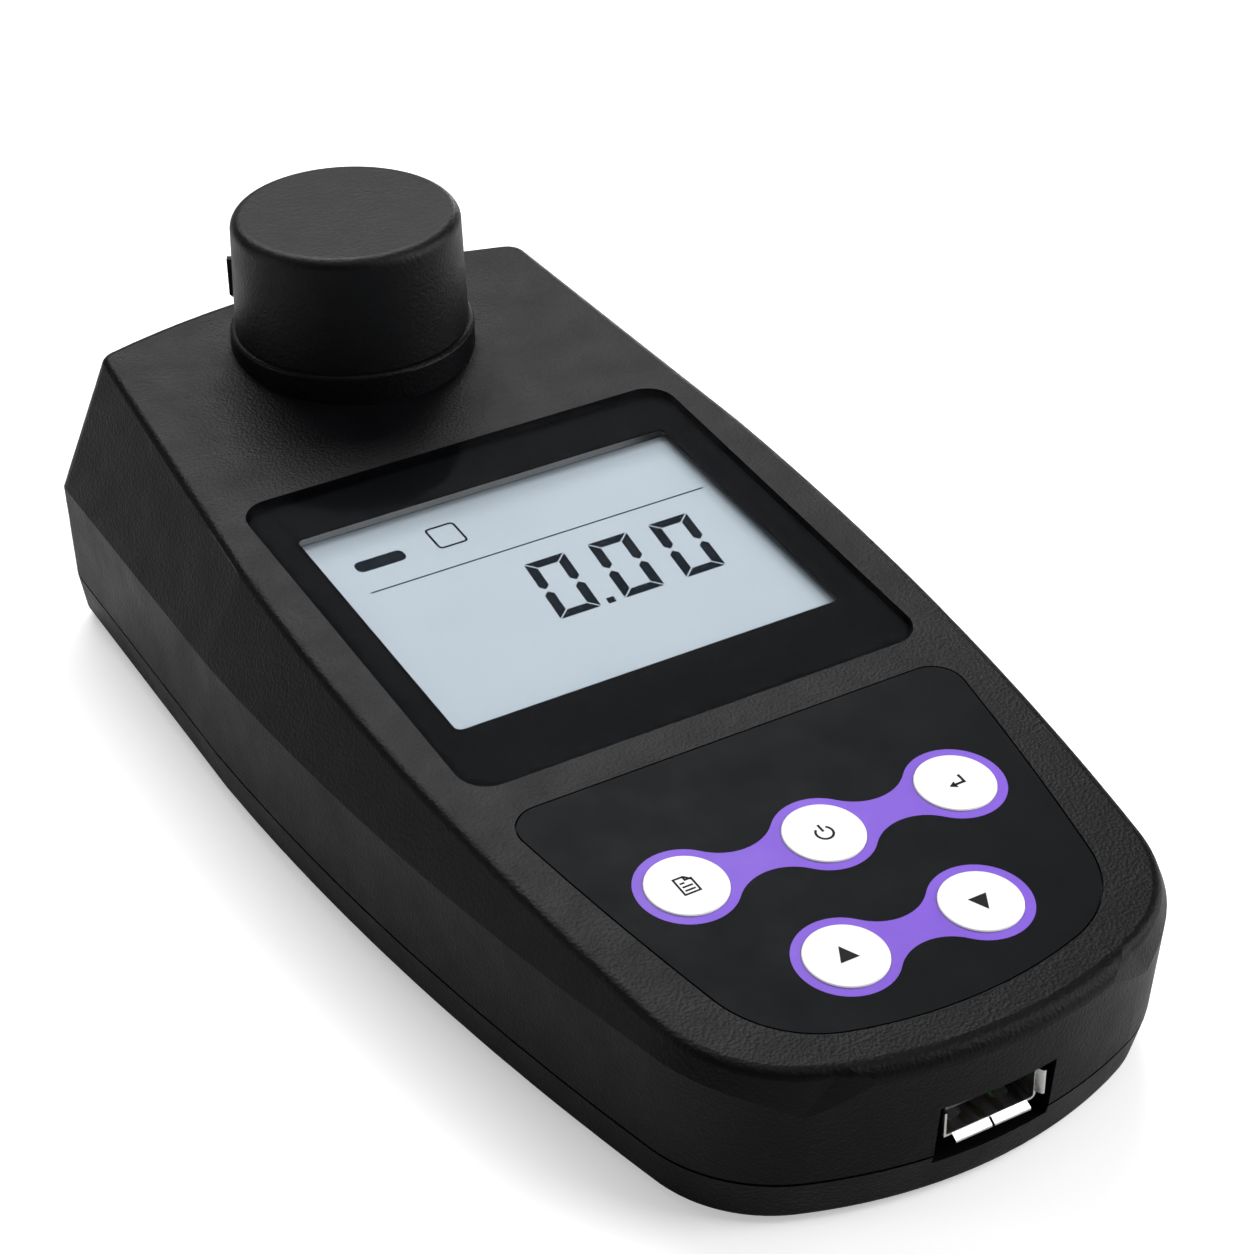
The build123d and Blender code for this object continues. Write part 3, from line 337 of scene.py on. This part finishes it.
def display_panel(name):
    """Reflective display with painted shade: its colour is darker where the window's border would shade its back
    and right edges.
    """
    made = material(name)
    tree = made.node_tree
    shader = principled(made)
    low, high = deck_extent("window_mask")
    view_right = high.x - WINDOW_BORDER_SIDE
    view_back = high.y - WINDOW_BORDER_BACK
    across = deck_axis(tree, DECK_U)
    up = deck_axis(tree, DECK_V)
    from_right = spread(tree, across, 1, 0, view_right - PAINTED_SHADE_RIGHT, view_right)
    from_back = spread(tree, up, 1, 0, view_back - PAINTED_SHADE_BACK, view_back)
    for shade_edge in (from_right, from_back):
        shade_edge.node.interpolation_type = "SMOOTHSTEP"
    shade = maths(tree, "MULTIPLY", from_right, from_back)
    cloud = spread(tree, noise(tree, coordinates(tree), 12.0), 0.96, 1.0)
    painted_shade_and_tone = maths(tree, "MULTIPLY", shade, cloud)
    # The darker colour is painted shade along the back and right edges; the cloud is a faint random tone
    tree.links.new(tint(tree, painted_shade_and_tone, (0.25, 0.285, 0.31), (0.425, 0.475, 0.512)), shader.inputs["Base Color"])
    set_inputs(shader, Specular_IOR_Level=0.2)
    frost = noise(tree, coordinates(tree), 0.12)
    tree.links.new(spread(tree, frost, 0.45, 0.6), shader.inputs["Roughness"])
    tree.links.new(bump(tree, frost, 0.003), shader.inputs["Normal"])
    return made


def wrapped_cell(name):
    """Printed wrap round each cell, with bare steel towards its two ends."""
    made = material(name)
    tree = made.node_tree
    shader = principled(made)
    low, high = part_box("battery_cells")
    split = node(tree, "ShaderNodeSeparateXYZ")
    where = coordinates(tree)
    tree.links.new(where, split.inputs[0])
    off_centre = maths(tree, "SUBTRACT", split.outputs["Y"], (low.y + high.y) / 2)
    distance = maths(tree, "ABSOLUTE", off_centre, 0.0)
    half_length = (high.y - low.y) / 2
    steel = maths(tree, "GREATER_THAN", distance, half_length - CELL_BARE_END * MM)
    band = maths(tree, "GREATER_THAN", distance, half_length - CELL_END_BAND * MM)
    wrap = tint(tree, band, (0.035, 0.11, 0.07), (0.42, 0.43, 0.42))
    bare = node(tree, "ShaderNodeMix", data_type="RGBA")
    tree.links.new(steel, bare.inputs["Factor"])
    tree.links.new(wrap, bare.inputs[6])
    bare.inputs[7].default_value = (0.55, 0.55, 0.54, 1)
    tree.links.new(bare.outputs[2], shader.inputs["Base Color"])
    tree.links.new(steel, shader.inputs["Metallic"])
    scuffs = noise(tree, where, 1.5, detail=5)
    tree.links.new(spread(tree, scuffs, 0.22, 0.4), shader.inputs["Roughness"])
    tree.links.new(bump(tree, scuffs, 0.01), shader.inputs["Normal"])
    return made


MATERIALS = {
    "housing_plastic": moulded("housing_plastic", (0.0022, 0.0022, 0.0029), 0.43, 0.45, 0.05, 0.09),
    "cap_plastic": moulded("cap_plastic", (0.0016, 0.0016, 0.0020), 0.46, 0.5, 0.04, 0.15),
    "tube_plastic": moulded("tube_plastic", (0.010, 0.010, 0.011), 0.55, 0.4, 0.012, 0.25),
    "window_clear": clear("window_clear", (0.97, 0.98, 0.99), 0.015),
    "mask_print": moulded("mask_print", (0.0020, 0.0026, 0.0033), 0.45, 0.2, 0.002, 0.01),
    "lcd_panel": display_panel("lcd_panel"),
    "frame_plastic": moulded("frame_plastic", (0.62, 0.63, 0.62), 0.5, 0.5, 0.01),
    "light_guide": moulded("light_guide", (0.80, 0.82, 0.83), 0.35, 0.3, 0.006, 0.5),
    "elastomer": moulded("elastomer", (0.08, 0.08, 0.09), 0.7, 0.3, 0.01),
    "circuit_board": printed_board("circuit_board"),
    "component_black": moulded("component_black", (0.02, 0.02, 0.02), 0.55, 0.25, 0.01),
    "overlay_film": moulded("overlay_film", (0.0028, 0.0034, 0.0042), 0.42, 0.16, 0.004, 0.03, 0.08),
    "key_white": moulded("key_white", (0.78, 0.78, 0.79), 0.45, 0.16, 0.004, 0.3, 0.02),
    "spring_steel": metal("spring_steel", (0.62, 0.62, 0.60), 0.25),
    "socket_metal": metal("socket_metal", (0.72, 0.71, 0.69), 0.20),
    "tongue_plastic": moulded("tongue_plastic", (0.085, 0.085, 0.105), 0.45, 0.2, 0.006),
    "contact_metal": metal("contact_metal", (0.80, 0.60, 0.25), 0.2),
    "cell_wrap": wrapped_cell("cell_wrap"),
    "screw_steel": metal("screw_steel", (0.50, 0.50, 0.51), 0.3),
    "foot_rubber": moulded("foot_rubber", (0.012, 0.012, 0.012), 0.8, 0.4, 0.02, 0.2),
    "cable_film": moulded("cable_film", (0.72, 0.72, 0.70), 0.35, 0.4, 0.005),
    "lens_clear": clear("lens_clear", (0.94, 0.96, 0.97), 1.0),
    "lamp_epoxy": moulded("lamp_epoxy", (0.70, 0.72, 0.76), 0.15, 0.5, 0.004, 0.5),
}
BAND_PRINT = moulded("band_print", (0.17, 0.072, 0.53), 0.45, 0.16, 0.004, 0.18, 0.05)
MARK_PRINT = moulded("mark_print", (0.009, 0.010, 0.012), 0.5, 0.16, 0.003, 0.05)
SEGMENT_PRINT = moulded("segment_print", (0.009, 0.013, 0.018), 0.5, 0.2, 0.002, 0.01)


def dress_nodes():
    """Give each CAD node the finish that its slot names."""
    for part in frame["record"]["subparts"]:
        data = frame["nodes"][part["node"]].data
        data.materials.clear()
        data.materials.append(MATERIALS[part["material_slot"]])


# Flat marks

def circle(radius, centre=(0.0, 0.0), count=64):
    step = 2 * math.pi / count
    return [
        (centre[0] + radius * math.cos(index * step), centre[1] + radius * math.sin(index * step))
        for index in range(count)
    ]


def arc(centre, radius, start, end, count=16):
    """Points of an arc from one angle to another, in degrees."""
    angles = [math.radians(start + (end - start) * index / count) for index in range(count + 1)]
    return [(centre[0] + radius * math.cos(a), centre[1] + radius * math.sin(a)) for a in angles]


def rounded(width, height, corner, centre=(0.0, 0.0)):
    x = width / 2 - corner
    y = height / 2 - corner
    places = ((x, y, 0), (-x, y, 90), (-x, -y, 180), (x, -y, 270))
    outline = []
    for place_x, place_y, start in places:
        middle = (centre[0] + place_x, centre[1] + place_y)
        outline += arc(middle, corner, start, start + 90, 8)
    return outline


def bar(first, second, width):
    """Rectangle along the line between two points."""
    along = Vector((second[0] - first[0], second[1] - first[1])).normalized() * width / 2
    side = Vector((-along.y, along.x))
    ends = (Vector(first), Vector(second))
    corners = (ends[0] + side, ends[0] - side, ends[1] - side, ends[1] + side)
    return [tuple(corner) for corner in corners]


def flat_mark(name, loops, matrix, finish, slot, body):
    """Thin plate with the given outlines, in millimetres; a loop inside another is a hole."""
    curve = bpy.data.curves.new(name, "CURVE")
    curve.dimensions = "2D"
    curve.fill_mode = "BOTH"
    curve.extrude = MARK_THICKNESS / 2
    for loop in loops:
        spline = curve.splines.new("POLY")
        spline.points.add(len(loop) - 1)
        for point, (x, y) in zip(spline.points, loop):
            point.co = (x, y, 0, 1)
        spline.use_cyclic_u = True
    shape = bpy.data.objects.new(name + "_outline", curve)
    bpy.context.scene.collection.objects.link(shape)
    mesh = bpy.data.meshes.new_from_object(shape)
    bpy.data.objects.remove(shape)
    mesh.name = name
    lift = Matrix.Translation((0, 0, MARK_THICKNESS / 2 + MARK_LIFT))
    mesh.transform(matrix @ Matrix.Scale(MM, 4) @ lift)
    mesh.materials.clear()
    mesh.materials.append(finish)
    piece = bpy.data.objects.new(name, mesh)
    bpy.context.scene.collection.objects.link(piece)
    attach(piece, body)


# Display

def slanted(points, foot):
    return [(foot[0] + x + y * DIGIT_SLANT, foot[1] + y) for x, y in points]


def upside_down(shape, height):
    return [(x, height - y) for x, y in shape]


def digit_segments():
    """The six segments of a nought, from its lower left corner."""
    wide, high, stroke, gap = DIGIT_WIDTH, DIGIT_HEIGHT, DIGIT_STROKE, DIGIT_GAP
    top = [
        (gap, high), (wide - gap, high),
        (wide - stroke - gap, high - stroke), (stroke + gap, high - stroke),
    ]
    middle = high / 2 + 1.6 * gap
    upper_left = [
        (0, high - gap), (stroke, high - stroke - gap), (stroke, middle + stroke / 2),
        (stroke / 2, middle), (0, middle + stroke / 2),
    ]
    left = [upper_left, upside_down(upper_left, high)]
    right = [[(wide - x, y) for x, y in shape] for shape in left]
    return [top, upside_down(top, high)] + left + right


def display_marks():
    surface = deck_matrix(w=deck_extent("lcd_glass")[1].z)
    shared = (surface, SEGMENT_PRINT, "mask_print", "meter")
    for index, foot_u in enumerate(DIGIT_FEET):
        loops = [slanted(shape, (foot_u, DIGIT_FOOT_V)) for shape in digit_segments()]
        flat_mark(f"display_digit_{index + 1}", loops, *shared)
    half = POINT_SIZE / 2
    point = slanted([(-half, -half), (half, -half), (half, half), (-half, half)], POINT_PLACE)
    flat_mark("display_point", [point], *shared)
    rule = bar((RULE_ENDS[0], RULE_V), (RULE_ENDS[1], RULE_V), RULE_WIDTH)
    flat_mark("display_rule", [rule], *shared)
    badge = rounded(BADGE_SIZE[0], BADGE_SIZE[1], BADGE_SIZE[1] * 0.4, BADGE_PLACE)
    flat_mark("display_badge", [badge], *shared)
    outer = rounded(*ICON_SIZE, ICON_CORNER, ICON_PLACE)
    inner_size = [side - 2 * ICON_STROKE for side in ICON_SIZE]
    inner = rounded(*inner_size, ICON_CORNER - ICON_STROKE, ICON_PLACE)
    flat_mark("display_icon_frame", [outer, inner], *shared)


# Print on the keypad

def band_outline(centres):
    """Discs in a row, joined by necks whose edges are arcs tangent to the discs."""
    pitch = (centres[-1][0] - centres[0][0]) / (len(centres) - 1)
    radius = (pitch ** 2 / 4 + BAND_NECK ** 2 - BAND_RING ** 2) / (2 * (BAND_RING - BAND_NECK))
    rise = BAND_NECK + radius
    touch = math.degrees(math.atan2(rise, pitch / 2))
    lower = []
    for index, (u, v) in enumerate(centres):
        start = 180 if index == 0 else 180 + touch
        end = 360 if index == len(centres) - 1 else 360 - touch
        lower += arc((u, v), BAND_RING, start, end, 24)
        if index < len(centres) - 1:
            lower += arc((u + pitch / 2, v - rise), radius, 180 - touch, touch, 16)
    v = centres[0][1]
    upper = [(x, 2 * v - y) for x, y in reversed(lower)]
    return lower + upper[1:-1]


def keypad_bands():
    rows = {
        "key_band_upper": ("key_list", "key_power", "key_enter"),
        "key_band_lower": ("key_up", "key_down"),
    }
    for name, keys in rows.items():
        centres = [key_top(key)[:2] for key in keys]
        holes = [circle(BAND_HOLE, centre) for centre in centres]
        outline = band_outline(centres)
        flat_mark(name, [outline] + holes, deck_matrix(), BAND_PRINT, "overlay_film", "meter")


def list_symbol():
    """Page with a folded corner and three lines."""
    width, height, fold, stroke = 2.4, 3.1, 0.85, 0.27
    x, y = width / 2, height / 2
    page = [(-x, -y), (x, -y), (x, y - fold), (x - fold, y), (-x, y)]
    inner_x, inner_y, inner_fold = x - stroke, y - stroke, fold - stroke * 0.4
    inside = [
        (-inner_x, -inner_y), (inner_x, -inner_y), (inner_x, inner_y - inner_fold),
        (inner_x - inner_fold, inner_y), (-inner_x, inner_y),
    ]
    flap = [
        (x - fold - stroke, y), (x - fold, y), (x - fold, y - fold + stroke), (x, y - fold + stroke),
        (x, y - fold), (x - fold - stroke, y - fold),
    ]
    lines = [bar((-0.7, row), (0.7, row), stroke) for row in (-0.85, -0.2)]
    lines.append(bar((-0.7, 0.45), (-0.05, 0.45), stroke))
    return [page, inside], [flap] + lines


def power_symbol():
    radius, stroke, opening = 1.25, 0.32, 38
    outer = arc((0, -0.1), radius, 90 + opening, 450 - opening, 40)
    inner = arc((0, -0.1), radius - stroke, 450 - opening, 90 + opening, 40)
    return [outer + inner], [bar((0, 0.15), (0, 1.45), stroke)]


def enter_symbol():
    corner, tip, head, stroke = (1.05, -0.4), -1.15, 0.95, 0.36
    line = bar((corner[0] + stroke / 2, corner[1]), (tip + head * 0.6, corner[1]), stroke)
    post = bar((corner[0], corner[1]), (corner[0], corner[1] + 1.4), stroke)
    arrow = [(tip, corner[1]), (tip + head, corner[1] - head * 0.62), (tip + head, corner[1] + head * 0.62)]
    return [line], [post, arrow]


def triangle_symbol(direction):
    half, rise, drop = 1.3, 1.65, 0.85
    points = [(-half, -drop * direction), (half, -drop * direction), (0, rise * direction)]
    return [points], []


def key_symbols():
    """Plain black symbols on the keys; shapes that overlap are separate plates."""
    symbols = {
        "key_list": list_symbol(),
        "key_power": power_symbol(),
        "key_enter": enter_symbol(),
        "key_up": triangle_symbol(1),
        "key_down": triangle_symbol(-1),
    }
    for key, (body, extras) in symbols.items():
        matrix = deck_matrix(*key_top(key))
        flat_mark(key + "_symbol", body, matrix, MARK_PRINT, "key_white", key)
        for index, extra in enumerate(extras):
            flat_mark(f"{key}_symbol_{index + 1}", [extra], matrix, MARK_PRINT, "key_white", key)


# Studio

def floor_material():
    """Pale floor that keeps the object's shadow, white for the camera and unseen from below."""
    made = material("floor")
    tree = made.node_tree
    shader = principled(made)
    set_inputs(shader, Base_Color=(FLOOR_COLOUR, FLOOR_COLOUR, FLOOR_COLOUR, 1), Roughness=0.9)
    set_inputs(shader, Specular_IOR_Level=0.0, Emission_Color=(1, 1, 1, 1))
    from_centre = node(tree, "ShaderNodeVectorMath", operation="LENGTH")
    tree.links.new(coordinates(tree), from_centre.inputs[0])
    distance = from_centre.outputs["Value"]
    far = spread(tree, distance, FLOOR_LIFT, FLOOR_LIFT + FLOOR_FAR_LIFT, *FLOOR_FADE)
    tree.links.new(maths(tree, "MULTIPLY", seen_by_camera(tree), far), shader.inputs["Emission Strength"])
    underside = node(tree, "ShaderNodeNewGeometry").outputs["Backfacing"]
    choice = node(tree, "ShaderNodeMixShader")
    output = next(item for item in tree.nodes if item.type == "OUTPUT_MATERIAL")
    tree.links.new(underside, choice.inputs["Fac"])
    tree.links.new(shader.outputs["BSDF"], choice.inputs[1])
    tree.links.new(node(tree, "ShaderNodeBsdfTransparent").outputs["BSDF"], choice.inputs[2])
    tree.links.new(choice.outputs["Shader"], output.inputs["Surface"])
    return made


def seen_by_camera(tree):
    return node(tree, "ShaderNodeLightPath").outputs["Is Camera Ray"]


def make_floor():
    bpy.ops.mesh.primitive_plane_add(size=FLOOR_SIZE, location=(0, 0, -FLOOR_DROP))
    floor = bpy.context.object
    floor.name = "floor"
    floor.data.materials.append(floor_material())


def make_world():
    world = bpy.data.worlds.new("studio")
    bpy.context.scene.world = world
    world.use_nodes = True
    tree = world.node_tree
    shade = next(item for item in tree.nodes if item.type == "BACKGROUND")
    shade.inputs["Color"].default_value = (1, 1, 1, 1)
    strength = maths(tree, "MULTIPLY", seen_by_camera(tree), 1 - WORLD_FILL)
    tree.links.new(maths(tree, "ADD", strength, WORLD_FILL), shade.inputs["Strength"])


def softbox(name, place, size, power):
    lamp = bpy.data.lights.new(name, "AREA")
    lamp.shape = "RECTANGLE"
    lamp.size, lamp.size_y = size
    lamp.energy = power
    holder = bpy.data.objects.new(name, lamp)
    bpy.context.scene.collection.objects.link(holder)
    holder.location = place
    aim = Vector(LAMP_TARGET) - Vector(place)
    holder.rotation_euler = aim.to_track_quat("-Z", "Y").to_euler()


def make_lights():
    for name, (place, size, power) in LAMPS.items():
        softbox(name, place, size, power)


def make_camera():
    camera = bpy.data.objects.new("camera", bpy.data.cameras.new("camera"))
    bpy.context.scene.collection.objects.link(camera)
    azimuth = math.radians(CAMERA_AZIMUTH)
    elevation = math.radians(CAMERA_ELEVATION)
    forward = Vector((
        -math.sin(azimuth) * math.cos(elevation),
        math.cos(azimuth) * math.cos(elevation),
        -math.sin(elevation),
    ))
    turn = forward.to_track_quat("-Z", "Y") @ Quaternion((0, 0, 1), math.radians(CAMERA_ROLL))
    camera.rotation_euler = turn.to_euler()
    camera.location = CAMERA_PLACE
    camera.data.lens = CAMERA_LENS
    camera.data.sensor_width = 36.0
    camera.data.clip_start = 0.01
    bpy.context.scene.camera = camera


dress_nodes()
display_marks()
keypad_bands()
key_symbols()
make_floor()
make_world()
make_lights()
make_camera()
bpy.context.scene.view_settings.view_transform = "Standard"
